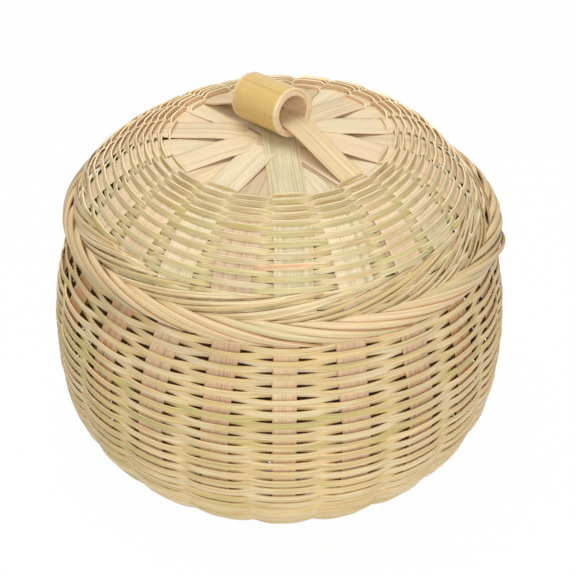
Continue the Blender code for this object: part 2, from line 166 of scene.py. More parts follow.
# Crossing strips: their course from the middle outwards
STRIP_START = 0.6 * MM
STRIP_INNER_RUN = (6 * MM, 70 * MM, 22)     # first and last station, and their number
STRIP_OUTER_START = 74 * MM
STRIP_OUTER_STATIONS = 40
STACK_GAP = 0.05 * MM
CROSSING_LIFT = 0.2 * MM
STACK_RUN = 0.4                  # share of the crossing's start in which strips lie stacked
AFTER_CROSSING = 10 * MM
BOW_START = 8 * MM
BOW_POWER = 0.75                 # puts the top of the bow nearer to the middle
HIGH_STRIP_LIFT = 0.5 * MM
LID_STACK_DEPTH = -1.5 * MM      # of the strip on top, in the middle
BODY_STACK_DEPTH = 1.0 * MM
LID_FRONT_STRIP = 8              # numbers of the nodes
BODY_FRONT_STRIP = 10
CROWN_LIFTS = {4: 3.6 * MM, 6: 3.6 * MM, 8: 3.0 * MM, 18: 2.2 * MM, 16: 2.0 * MM, 20: 1.4 * MM}
# Tone of each strip, from the front one on
LID_STRIP_TONES = (0.85, 0.7, 0.45, 0.6, 0.35, 0.4, 0.55, 0.5, 0.35, 0.65, 0.0)
# Body strips: partly their own tones, partly painted shade, as the strips down the sides (3 to 8)
# get the brownest tones
BODY_STRIP_TONES_AND_SIDE_SHADE = (0.0, 0.4, 0.5, 0.8, 0.7, 0.9, 0.8, 0.9, 0.7, 0.3, 0.5)

# Borders: sweeps are in degrees, and spreads in shares of the way to the next strand
STRAND_STATIONS = 30
STRAND_TAPER = ([0, 0.14, 0.94, 1], [0.4, 1, 1, 0.6])

# Upper layer of the lid's border
SEAM_RUN = 79.2 * MM             # from the edge of the crown, down the dome, to the seam
UPPER_STRANDS = 52
UPPER_SPREAD = 0.35
UPPER_SWEEP = 50.0
UPPER_SWEEP_OFFSETS = (-7, 9)
UPPER_START = 2.0 * MM           # past the seam
UPPER_RISE = 16.5 * MM
UPPER_RISE_SPREAD = 1.0 * MM
UPPER_EASE = 0.45                # share of the rise that starts and ends slowly
UPPER_DEPTHS = (-0.4 * MM, 0.35 * MM)
UPPER_RIGHT_DEPTH = 1.8 * MM     # how much deeper they lie at the right
UPPER_STATIONS = [0, 0.1, 0.45, 0.85, 1]
UPPER_SEAM_DEPTHS = [0.9 * MM, 0.2 * MM]
UPPER_BOW = 0.4 * MM
UPPER_TIP_DEPTH = 2.0 * MM
UPPER_WIDTHS = (2.3 * MM, 3.6 * MM)
UPPER_THICK = 1.3 * MM
UPPER_TILT = 0.28
UPPER_TONES = (0.3, 0.95)

# Lower layer of the lid's border
LOWER_STRANDS = 33
LOWER_SPREAD = 0.15
LOWER_SWEEP = 38.0
TUCK_SWEEP = 12.0
LOWER_START = -1.0 * MM
LOWER_EDGE = 0.68                # share of the rim's outline at which a strand goes in
LOWER_DEPTHS = ([0, 0.05, 0.14, 0.85, 1], [2.4 * MM, 1.2 * MM, -0.1 * MM, 0.2 * MM, 0.4 * MM])
LOWER_WIDTHS = (4.2 * MM, 5.4 * MM)
LOWER_THICK = 2.5 * MM
LOWER_TILT = 0.24
LOWER_TONES = (0.0, 0.42)
LOOSE_STRAND = (38.0, 54.0)      # azimuth and sweep of the one that has sprung out
LOOSE_DEPTHS = ([0, 0.2, 0.45, 0.7, 1], [0.6 * MM, -1.0 * MM, -2.4 * MM, -3.1 * MM, 0.6 * MM])
LOOSE_WIDTH = 3.4 * MM
LOOSE_THICK = 2.2 * MM
LOOSE_TONE = 0.2

# The body's border
MOUTH_STRANDS = 2 * STAKES
MOUTH_STATIONS = 24
MOUTH_SPREAD = 0.1
MOUTH_DEPTHS = ([0, 0.1, 0.9, 1], [0.9 * MM, 0.4 * MM, 0.4 * MM, 0.6 * MM])
MOUTH_WIDTH = 3.2 * MM
MOUTH_THICK = 0.9 * MM
MOUTH_TILT = 0.12
MOUTH_TONES = (0.1, 0.7)

# Handle
ROLL_JOINT = next(joint for joint in frame["joints"] if joint["name"] == "roll_spin")
ROLL_CENTRE = Vector(ROLL_JOINT["pos_m"])
ROLL_AXIS = Vector(ROLL_JOINT["axis"]).normalized()
ROLL_LENGTH = 41.5 * MM
ROLL_SHIFT = 2.8 * MM            # along its axis, towards the front
ROLL_RIGHT = 0.3 * MM            # off its axis, seen from the front
ROLL_UP = 0.3 * MM
ROLL_BORE = 10.6 * MM
ROLL_WALL = 4.3 * MM
ROLL_LAP = 113.0                 # degrees of the roll that lie double
ROLL_SEAM = 114.0                # its outer end: from the right, seen from the front
ROLL_THICKEN = 8.0               # degrees past the lap until the wall is full
ROLL_DIP = 6.0                   # degrees in which the wall goes in under its outer end
ROLL_OUTER_TIP = 0.15 * MM       # thickness of the outer end
ROLL_INNER_TIP = 0.9 * MM
ROLL_GAP = 0.08 * MM             # between the layers of the lap
ROLL_STATIONS = 120
ROLL_TONE = 0.5
STRAP_WIDTH = 16.8 * MM
STRAP_THICK = 1.0 * MM
STRAP_BELOW_AXIS = 4.3 * MM
STRAP_END_INSET = 9.0 * MM       # from the corner of its node's box
STRAP_RISE_HANDLE = (16 * MM, 2 * MM)
STRAP_FALL_HANDLE = (-26 * MM, 5.5 * MM)
STRAP_PAST_BACK = 10 * MM        # its other handles, past the ends of the roll
STRAP_PAST_FRONT = 12 * MM
STRAP_FRONT_INSET = 3.5 * MM     # where it starts to bend, inside the roll
STRAP_STEPS = 24
STRAP_TONE = 0.3

# Camera, solved from the photograph
CAMERA_SENSOR = 36.0             # millimetres, as the lens
CAMERA_LENS = 71.7
CAMERA_PLACE = (5.63 * MM, -627.6 * MM, 549.9 * MM)
CAMERA_TILT = 54.6               # degrees from straight down

# Studio
FLOOR_HEIGHT = -1.2 * MM
FLOOR_REACH = 40.0
FLOOR_GREY = 0.95
FLOOR_ROUGHNESS = 0.9
FLOOR_WHITE = 0.97               # share of the floor's look that is plain white
WORLD_LIGHT = 0.31
KEY_PLACE = (0.2, -1.3, 0.9)
KEY_POWER = 12.3                 # watts
TOP_PLACE = (-0.15, 0.1, 1.5)
TOP_POWER = 10.2
LIGHT_TARGET = (0, 0, 0.1)
LIGHT_SIZE = 0.8

rng = np.random.default_rng(7)


def linear(red, green, blue):
    """A colour as shown on screen, 0 to 255, as linear light."""
    def channel(value):
        value /= 255
        return value / 12.92 if value <= 0.04045 else ((value + 0.055) / 1.055) ** 2.4
    return (channel(red), channel(green), channel(blue), 1.0)


def grey(value):
    return (value, value, value, 1.0)


def between(ends, share):
    """The value at a share of the way from one end to the other."""
    return ends[0] + (ends[1] - ends[0]) * share


def unit(vectors):
    return vectors / np.linalg.norm(vectors, axis=1, keepdims=True)


def add_object(name, data):
    """A new object of the scene."""
    thing = bpy.data.objects.new(name, data)
    bpy.context.scene.collection.objects.link(thing)
    return thing


# Walls


def off(corner, offset):
    """A place in a plane, given off a corner."""
    return corner[0] + offset[0], corner[1] + offset[1]


def bezier(start, start_handle, end_handle, end, steps=CURVE_STEPS):
    t = np.linspace(0, 1, steps + 1)[:, None]
    u = 1 - t
    corners = [np.array(corner) for corner in (start, start_handle, end_handle, end)]
    weights = (u ** 3, 3 * u * u * t, 3 * u * t * t, t ** 3)
    return sum(weight * corner for weight, corner in zip(weights, corners))


class Wall:
    """A wall of revolution. side is 1 if its outside lies right of its outline, or -1.

    oval_run is the stretch of s in which it becomes oval, shifts holds places along it and
    how far it sits to the right there, back_shifts the same for its back alone, and lift
    says how much higher its left end is.
    """

    def __init__(self, outline, side, oval_run=EVERYWHERE, shifts=RIM_SHIFTS,
                 back_shifts=NO_SHIFTS, lift=0.0):
        self.oval_run, self.lift = oval_run, lift
        self.shifts, self.back_shifts = shifts, back_shifts
        self.points = np.array(outline)
        runs = np.hypot(*np.diff(self.points, axis=0).T)
        self.s = np.concatenate([[0.0], np.cumsum(runs)])
        slopes = np.gradient(self.points, self.s, axis=0)
        self.normals = np.stack([slopes[:, 1], -slopes[:, 0]], axis=1) * side
        self.length = self.s[-1]

    def at(self, s, depth=0.0):
        """Radius and height of points, and the two parts of their normals."""
        normal_r = np.interp(s, self.s, self.normals[:, 0])
        normal_z = np.interp(s, self.s, self.normals[:, 1])
        size = np.hypot(normal_r, normal_z)
        normal_r, normal_z = normal_r / size, normal_z / size
        r = np.interp(s, self.s, self.points[:, 0]) - normal_r * depth
        z = np.interp(s, self.s, self.points[:, 1]) - normal_z * depth
        return r, z, normal_r, normal_z

    def place(self, azimuth, s, depth=0.0):
        """Points and normals in space."""
        r, z, normal_r, normal_z = self.at(s, depth)
        across, back = np.sin(azimuth), -np.cos(azimuth)
        drawn_in = RIM_OVAL * np.sin(azimuth - RIM_TURN) ** 2
        r = r - drawn_in * np.interp(s, self.oval_run, [0.0, 1.0])
        x = r * across + np.interp(s, *self.shifts)
        x = x + np.interp(s, *self.back_shifts) * np.maximum(back, 0)
        lifted = LIFT_AT_START + (1 - LIFT_AT_START) * s / self.length
        z = z + self.lift * np.maximum(-across, 0) * lifted
        points = np.stack([x, r * back, z], axis=-1)
        normals = np.stack([normal_r * across, normal_r * back, normal_z + 0 * azimuth], axis=-1)
        return points, normals


def body_wall():
    """From the axis under the base, round the foot and the belly, to the mouth."""
    foot = (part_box("base_weave")[1].x, 0.0)
    belly = (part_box("side_weave_upper")[1].y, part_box("side_weave_upper")[0].z)
    mouth = (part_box("body_border")[1].x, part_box("side_weave_upper")[1].z)
    base = np.linspace((0.0, 0.0), foot, FLAT_STEPS)
    lower = bezier(foot, off(foot, FOOT_HANDLE), off(belly, BELLY_LOWER_HANDLE), belly)
    upper = bezier(belly, off(belly, BELLY_UPPER_HANDLE), off(mouth, MOUTH_HANDLE), mouth)
    outline = np.concatenate([base, lower[1:], upper[1:]])
    length = np.hypot(*np.diff(outline, axis=0).T).sum()
    mouth_run = (length - MOUTH_RUN, length)
    return Wall(outline, side=1, oval_run=mouth_run, shifts=(mouth_run, [0.0, RIM_SHIFT]))


def lid_wall():
    """From the axis over the crown and down the dome."""
    low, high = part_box("lid_weave")
    top, foot = (CROWN_RADIUS, high.z), (high.x, low.z)
    crown = np.linspace((0.0, high.z), top, FLAT_STEPS)
    dome = bezier(top, off(top, DOME_TOP_HANDLE), off(foot, DOME_FOOT_HANDLE), foot)
    outline = np.concatenate([crown, dome[1:]])
    return Wall(outline, side=-1, oval_run=LID_OVAL_RUN, shifts=LID_SHIFTS,
                back_shifts=LID_BACK_SHIFTS)


def rim_arc(start, end, level_first):
    """A quarter turn, level at one of its ends and upright at the other."""
    radius, height = (between(ends, RIM_ROUNDNESS) for ends in zip(start, end))
    if level_first:
        return bezier(start, (radius, start[1]), (end[0], height), end, RIM_STEPS)
    return bezier(start, (start[0], height), (radius, end[1]), end, RIM_STEPS)


def rim_outline(start, bulge, edge, inner):
    """Round an edge: from a start outside, over a bulge, to the edge and in behind it."""
    outer = rim_arc(start, bulge, level_first=True)
    under = rim_arc(bulge, edge, level_first=False)
    behind = rim_arc(edge, inner, level_first=True)
    return np.concatenate([outer, under[1:], behind[1:]])


def lid_rim_wall():
    """From the seam in the dome, down round the edge of the lid's border."""
    low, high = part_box("lid_border")
    foot = (high.x, low.z)
    start = LID.at(CROWN_RADIUS + SEAM_RUN, LID_RIM_DEPTH)[:2]
    outline = rim_outline(start, off(foot, LID_RIM_BULGE), off(foot, LID_RIM_EDGE),
                          off(foot, LID_RIM_INNER))
    return Wall(outline, side=-1, lift=RIM_LIFT)


def body_rim_wall():
    """Up over the edge of the body's border and down inside."""
    low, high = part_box("body_border")
    foot, top = (high.x, low.z), (high.x, high.z)
    outline = rim_outline(off(foot, BODY_RIM_START), off(foot, BODY_RIM_BULGE),
                          off(top, BODY_RIM_EDGE), off(foot, BODY_RIM_INNER))
    return Wall(outline, side=1)


BODY = body_wall()
LID = lid_wall()
LID_RIM = lid_rim_wall()
BODY_RIM = body_rim_wall()
FOOT_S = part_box("base_weave")[1].x


# Stakes round a wall


class StakeRing:
    """Azimuths of the stakes round a wall, near its middle and at its rim."""

    def __init__(self, turn, middle_offsets, rim_offsets, start, end, squeeze=0.0):
        """turn and the offsets of single stakes, by number, are in degrees."""
        even = turn + np.arange(STAKES) * 360 / STAKES
        self.tables = []
        for offsets in (middle_offsets, rim_offsets):
            azimuths = even.copy()
            for stake, offset in offsets.items():
                azimuths[stake] += offset
            azimuths = np.radians(azimuths)
            turns = [azimuths - 2 * math.pi, azimuths, azimuths + 2 * math.pi]
            self.tables.append(np.concatenate(turns))
        self.numbers = np.arange(-STAKES, 2 * STAKES)
        self.start, self.end, self.squeeze = start, end, math.radians(squeeze)

    def azimuth(self, count, s):
        """Azimuth of a place given as a number of stakes, whole on a stake."""
        share = np.clip((s - self.start) / (self.end - self.start), 0, 1)
        turns = np.floor(count / STAKES)
        middle, rim = (np.interp(count - turns * STAKES, self.numbers, table)
                       for table in self.tables)
        azimuth = middle + (rim - middle) * share
        lean = np.clip((s - self.end + MOUTH_SQUEEZE_RUN) / MOUTH_SQUEEZE_RUN, 0, 1)
        azimuth = azimuth - self.squeeze * lean * np.sin(2 * azimuth)
        return azimuth + 2 * math.pi * turns


LID_RING = StakeRing(
    turn=5.0,
    middle_offsets={13: -1.0, 14: -3.0, 15: -5.0, 16: -5.5, 17: -3.0},
    rim_offsets={0: -0.5, 1: -0.6, 2: -0.7, 3: -2.3, 19: 0.7, 20: 0.3, 21: -0.4},
    start=CROWN_RADIUS,
    end=LID.length,
)
BODY_RING = StakeRing(
    turn=1.0,
    middle_offsets={},
    rim_offsets={0: 0.6, 1: 1.0, 2: 2.3, 3: 1.5, 4: 1.0, 18: 1.0, 19: 1.7, 20: 1.2, 21: 1.2},
    start=FOOT_S,
    end=BODY.length,
    squeeze=MOUTH_SQUEEZE,
)


# Strands: closed strips, gathered into one mesh per piece

# Sections, 2 wide and about 2 thick: places aside and outwards
WEAVER_SECTION = [
    (-1.0, -0.7), (-0.93, -1.0), (0.93, -1.0), (1.0, -0.7), (1.0, 0.7), (0.93, 1.0),
    (0.35, 1.15), (-0.35, 1.15), (-0.93, 1.0), (-1.0, 0.7),
]
STRIP_SECTION = [
    (-1.0, -0.6), (-0.98, -1.0), (0.98, -1.0), (1.0, -0.6), (1.0, 0.6), (0.98, 1.0),
    (0.6, 1.0), (0.2, 1.0), (-0.2, 1.0), (-0.6, 1.0), (-0.98, 1.0), (-1.0, 0.6),
]
ROUND_SECTION = [
    (-1.0, -0.6), (-0.8, -0.9), (0.8, -0.9), (1.0, -0.6), (0.98, -0.15), (0.88, 0.3),
    (0.68, 0.68), (0.35, 1.0), (0.0, 1.12), (-0.35, 1.0), (-0.68, 0.68), (-0.88, 0.3),
    (-0.98, -0.15),
]
ROLL_SECTION = [
    (-1.0, -0.75), (-0.98, -1.0), (0.98, -1.0), (1.0, -0.75), (1.0, 0.75), (0.98, 1.0),
    (0.5, 1.0), (0.0, 1.0), (-0.5, 1.0), (-0.98, 1.0), (-1.0, 0.75),
]
SHARP_ANGLE = math.radians(35)
SEEDS = (0, 99)                  # they set the grain of one strand off from the others'


class Bundle:
    """Strands that become one piece.

    Its points keep their grain: the places along and across a strand, and its seed. They
    also keep their face: how far outside and how near to an edge they are, and the tone.
    """

    def __init__(self):
        self.points, self.faces, self.grain, self.face, self.count = [], [], [], [], 0

    def add(self, path, normals, width, thick, tone, section=WEAVER_SECTION, tilt=0.0):
        """A strand along a path, its section turned by tilt radians towards its left."""
        path, normals, section = np.asarray(path), np.asarray(normals), np.asarray(section)
        stations, corners = len(path), len(section)
        tangents = unit(np.gradient(path, axis=0))
        across = unit(np.cross(normals, tangents))
        out = np.cross(tangents, across)
        tilt = np.broadcast_to(tilt, stations)[:, None]
        across, out = (across * np.cos(tilt) + out * np.sin(tilt),
                       out * np.cos(tilt) - across * np.sin(tilt))
        half_width = np.broadcast_to(width, stations)[:, None] / 2
        half_thick = np.broadcast_to(thick, stations)[:, None] / 2
        aside, outwards = section[:, 0] * half_width, section[:, 1] * half_thick
        ring = (path[:, None] + across[:, None] * aside[..., None]
                + out[:, None] * outwards[..., None])
        steps = np.linalg.norm(np.diff(path, axis=0), axis=1)
        along = np.concatenate([[0.0], np.cumsum(steps)])[:, None]
        seed = rng.uniform(*SEEDS)
        grain = np.stack(np.broadcast_arrays(along, aside, seed), axis=-1)
        outside = np.clip(section[:, 1] * 0.5 + 0.5, 0, 1)
        tone = np.broadcast_to(tone, stations)[:, None]
        face = np.stack(np.broadcast_arrays(outside, np.abs(section[:, 0]), tone), axis=-1)
        index = self.count + np.arange(stations * corners).reshape(stations, corners)
        after = np.roll(index, -1, axis=1)
        quads = np.stack([index[:-1], after[:-1], after[1:], index[1:]], axis=-1)
        self.faces += quads.reshape(-1, 4).tolist()
        self.faces += [index[0, ::-1].tolist(), index[-1].tolist()]
        self.points.append(ring.reshape(-1, 3))
        self.grain.append(grain.reshape(-1, 3))
        self.face.append(face.reshape(-1, 3))
        self.count += stations * corners

    def piece(self, name, material, body, slot, node):
        """The piece itself, riding on a body in the place of a CAD node."""
        mesh = bpy.data.meshes.new(name)
        mesh.from_pydata(np.concatenate(self.points).tolist(), [], self.faces)
        for label, values in (("grain", self.grain), ("face", self.face)):
            attribute = mesh.attributes.new(label, "FLOAT_VECTOR", "POINT")
            attribute.data.foreach_set("vector", np.concatenate(values).astype(np.float32).ravel())
        mesh.materials.append(material)
        mesh.shade_smooth()
        mesh.set_sharp_from_angle(angle=SHARP_ANGLE)
        piece = add_object(name, mesh)
        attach(piece, body)
        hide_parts(node)


def slow_wave(angle, amount, harmonics):
    """A gentle closed wave round the wall."""
    wave = 0.0
    for harmonic in harmonics:
        phase, size = rng.uniform(0, 2 * math.pi), rng.uniform(*HARMONIC_SIZES)
        wave = wave + size * np.sin(harmonic * angle + phase)
    return amount * wave / len(harmonics)


# Materials

SHADER = "Principled BSDF"

# How fine noise is along a strand, across it, and from one strand to the next, per metre
PLAIN_FIBRE = (14.0, 1500.0)
STAKE_FIBRE = (20.0, 2500.0)
RING_FIBRE = (900.0, 12.0)
FIBRE_SEED = 3.7
PATCHES = (22.0, 330.0, 9.1)
LINES = (1.5, 260.0, 5.3)

# Where one look of a strand turns into another: on its section, and in the noises
OUTSIDE_RUN = (0.35, 0.65)
EDGE_RUN = (0.88, 0.95)
EDGE_SHARE = 0.9
DARK_FIBRE_RUN = (0.36, 0.60)
DARK_LINE_RUN = (0.60, 0.66)
LINE_GREEN = 0.8                 # share of a line's darkness that its green has
FIBRE_ROUGHNESS = 0.25
ROUGHNESS_DROP = 0.12
FIBRE_HEIGHT = 0.2 * MM


class Nodes:
    """Short hand for the nodes of a material or of the world."""

    def __init__(self, owner):
        owner.use_nodes = True
        self.tree = owner.node_tree

    def first(self, name):
        """A node that is there from the start."""
        return self.tree.nodes[name]

    def node(self, kind, inputs=(), **settings):
        node = self.tree.nodes.new(kind)
        for key, value in settings.items():
            setattr(node, key, value)
        for key, value in dict(inputs).items():
            socket = node.inputs[key]
            if isinstance(value, bpy.types.NodeSocket):
                self.tree.links.new(value, socket)
            else:
                socket.default_value = value
        return node

    def link(self, output, name, socket):
        """Links an output to a node that is there from the start."""
        self.tree.links.new(output, self.first(name).inputs[socket])

    def math(self, operation, first, second=0.0, third=0.0):
        node = self.node("ShaderNodeMath", {0: first, 1: second, 2: third}, operation=operation)
        return node.outputs[0]

    def noise(self, vector, detail=2.0, roughness=0.5):
        inputs = {"Vector": vector, "Scale": 1.0, "Detail": detail, "Roughness": roughness}
        return self.node("ShaderNodeTexNoise", inputs).outputs["Fac"]

    def stretched(self, vector, factors):
        node = self.node("ShaderNodeVectorMath", {0: vector, 1: factors}, operation="MULTIPLY")
        return node.outputs[0]

    def mix(self, factor, first, second, blend="MIX"):
        """A mix of colours, which are the node's inputs 6 and 7."""
        inputs = {0: factor, 6: first, 7: second}
        node = self.node("ShaderNodeMix", inputs, data_type="RGBA", blend_type=blend)
        return node.outputs[2]

    def ramp(self, value, places, colours):
        """Colours at places of a value, and the ones between them."""
        node = self.node("ShaderNodeValToRGB", {"Fac": value})
        ramp = node.color_ramp
        while len(ramp.elements) < len(colours):
            ramp.elements.new(0.5)
        for element, position, colour in zip(ramp.elements, places, colours):
            element.position = position
            element.color = colour
        return node.outputs[0]

    def even_ramp(self, value, colours):
        places = [number / (len(colours) - 1) for number in range(len(colours))]
        return self.ramp(value, places, colours)

    def attribute(self, name):
        return self.node("ShaderNodeAttribute", attribute_name=name).outputs["Vector"]

    def parts(self, vector):
        return self.node("ShaderNodeSeparateXYZ", {0: vector}).outputs


def bamboo(name, skins, pith, edges, streak=0.2, fibre=PLAIN_FIBRE, patch=0.35,
           line=0.0, roughness=0.5, bump=0.25, marks=()):
    """Split bamboo: skins and edges from the warmest to the greenest, the inner face. Edges are
    mostly cut edges, but on the border's strands they are painted shade in the grooves between
    strands.

    streak and line say how dark fibres and single lines are, patch how far patches change
    the tone. marks holds set lines: their places across a strand, half widths and tints.
    """
    material = bpy.data.materials.new(name)
    nodes = Nodes(material)
    grain, face = nodes.attribute("grain"), nodes.attribute("face")
    outside, rim, tone = nodes.parts(face)
    across = nodes.parts(grain)[1]
    fibres = nodes.noise(nodes.stretched(grain, (*fibre, FIBRE_SEED)), detail=3.0, roughness=0.65)
    patches = nodes.noise(nodes.stretched(grain, PATCHES))
    shade = nodes.math("ADD", tone, nodes.math("MULTIPLY_ADD", patches, 2 * patch, -patch))
    skin, edge = nodes.even_ramp(shade, skins), nodes.even_ramp(shade, edges)
    is_outside = nodes.ramp(outside, OUTSIDE_RUN, (grey(0.0), grey(1.0)))
    colour = nodes.mix(is_outside, pith, skin)
    is_edge = nodes.ramp(rim, EDGE_RUN, (grey(0.0), grey(EDGE_SHARE)))
    colour = nodes.mix(is_edge, colour, edge)
    dark = nodes.ramp(fibres, DARK_FIBRE_RUN, (grey(1.0 - streak), grey(1.0)))
    colour = nodes.mix(1.0, colour, dark, blend="MULTIPLY")
    if line:
        lines = nodes.noise(nodes.stretched(grain, LINES), detail=1.0)
        tint = (1 - line, 1 - line * LINE_GREEN, 1 - line, 1)
        dark = nodes.ramp(lines, DARK_LINE_RUN, (grey(1.0), tint))
        colour = nodes.mix(1.0, colour, dark, blend="MULTIPLY")
    for place, reach, tint in marks:
        is_mark = nodes.math("COMPARE", across, place, reach)
        colour = nodes.mix(is_mark, colour, tint, blend="MULTIPLY")
    nodes.link(colour, SHADER, "Base Color")
    gloss = nodes.math("MULTIPLY_ADD", fibres, FIBRE_ROUGHNESS, roughness - ROUGHNESS_DROP)
    nodes.link(gloss, SHADER, "Roughness")
    inputs = {"Strength": bump, "Distance": FIBRE_HEIGHT, "Height": fibres}
    nodes.link(nodes.node("ShaderNodeBump", inputs).outputs[0], SHADER, "Normal")
    return material


# Colours

CREAM = linear(232, 212, 168)
PALE_CREAM = linear(238, 220, 182)
STRAW = linear(217, 191, 134)
GREEN_STRAW = linear(203, 186, 116)
GOLD_STRAW = linear(214, 180, 114)
GOLD = linear(228, 196, 124)
YELLOW_GOLD = linear(218, 184, 108)
DEEP_GOLD = linear(208, 170, 94)
PEACH_CREAM = linear(240, 212, 172)
WARM_CREAM = linear(234, 210, 158)
WARM_STRAW = linear(222, 192, 132)
LID_PEACH = linear(232, 206, 164)
LID_STRAW = linear(213, 189, 131)
LID_CREAM = linear(227, 209, 164)
SALMON = linear(230, 178, 128)
PALE_GREEN = linear(212, 202, 146)
BORDER_PEACH = linear(232, 204, 160)
BORDER_GREEN = linear(211, 194, 145)
BORDER_TAN = linear(212, 182, 130)
BORDER_OLIVE = linear(200, 180, 122)
BORDER_CREAM = linear(222, 196, 144)
BORDER_PITH = linear(205, 165, 112)
PALE_EDGE = linear(255, 236, 194)
PEACH_EDGE = linear(248, 216, 160)
# Painted shade: dark colours for the sides of the border's strands, where neighbours meet in
# grooves
TAN_GROOVE_SHADE = linear(200, 150, 98)
STRAW_GROOVE_SHADE = linear(150, 116, 62)
TAN_PITH = linear(190, 112, 46)
PINK_BROWN = linear(216, 188, 152)
PALE_STAKE = linear(238, 208, 164)
PINK_STAKE = linear(222, 188, 150)
# Painted shade of the body's side stakes, and the colour of the strap's inner face
STAKE_SHADE_AND_PITH_BROWN = linear(214, 166, 114)
GREEN_STAKE = linear(210, 196, 150)
STRAP_TAN = linear(226, 190, 136)
GREEN_TINT = (0.74, 0.80, 0.62, 1.0)
PURPLE_TINT = (0.52, 0.42, 0.44, 1.0)

# Lines on three of the lid's strips: place across the strip, half width and tint
FRONT_MARKS = (
    (-8.6 * MM, 0.35 * MM, GREEN_TINT),
    (5.5 * MM, 0.3 * MM, GREEN_TINT),
    (9.2 * MM, 0.3 * MM, GREEN_TINT),
)
GREEN_MARKS = ((6.0 * MM, 0.9 * MM, GREEN_TINT), (-3.0 * MM, 0.3 * MM, GREEN_TINT))
PURPLE_MARKS = ((-9.2 * MM, 0.9 * MM, PURPLE_TINT),)


def body_weaver():
    skins = [GOLD_STRAW, WARM_CREAM, WARM_STRAW, CREAM, WARM_STRAW, GREEN_STRAW]
    edges = [PEACH_EDGE, PEACH_EDGE]
    return bamboo("body_weaver", skins, TAN_PITH, edges, streak=0.3, patch=0.45)


def lid_weaver():
    skins = [SALMON, LID_PEACH, LID_STRAW, LID_CREAM, LID_STRAW, PALE_GREEN, LID_STRAW,
             GREEN_STRAW]
    edges = [PALE_EDGE, PALE_EDGE]
    return bamboo("lid_weaver", skins, TAN_PITH, edges, streak=0.3, patch=0.45)


def body_stake():
    # The brown end of these ramps is painted shade, which the side strips get through their tones
    skins = [PALE_STAKE, PINK_STAKE, STAKE_SHADE_AND_PITH_BROWN]
    edges = [PINK_STAKE, STAKE_SHADE_AND_PITH_BROWN]
    return bamboo("body_stake", skins, TAN_PITH, edges, fibre=STAKE_FIBRE, line=0.25,
                  roughness=0.6, streak=0.3)


def lid_stake(name, marks=()):
    skins = [PINK_BROWN, PEACH_CREAM, PALE_CREAM, GREEN_STAKE]
    edges = [PINK_BROWN, CREAM]
    return bamboo(name, skins, TAN_PITH, edges, fibre=STAKE_FIBRE, line=0.15,
                  roughness=0.55, patch=0.15, streak=0.25, marks=marks)


def border_strand():
    skins = [BORDER_PEACH, BORDER_CREAM, BORDER_GREEN, BORDER_TAN, CREAM, BORDER_TAN, STRAW,
             BORDER_OLIVE]
    # These edges are painted shade: each strand's sides are darkened like the grooves between
    # strands
    edges = [TAN_GROOVE_SHADE, STRAW_GROOVE_SHADE, STRAW_GROOVE_SHADE]
    return bamboo("border", skins, BORDER_PITH, edges, streak=0.3, roughness=0.42, patch=0.4)


def strap_skin():
    skins = [STRAP_TAN, CREAM, STRAW]
    edges = [STRAP_TAN, STRAP_TAN]
    return bamboo("strap", skins, STAKE_SHADE_AND_PITH_BROWN, edges, roughness=0.45, streak=0.25)


def roll_skin():
    skins = [GOLD, YELLOW_GOLD, DEEP_GOLD]
    edges = [PEACH_CREAM, PEACH_CREAM]
    return bamboo("roll", skins, TAN_PITH, edges, fibre=RING_FIBRE, roughness=0.3, streak=0.1)


# Weave


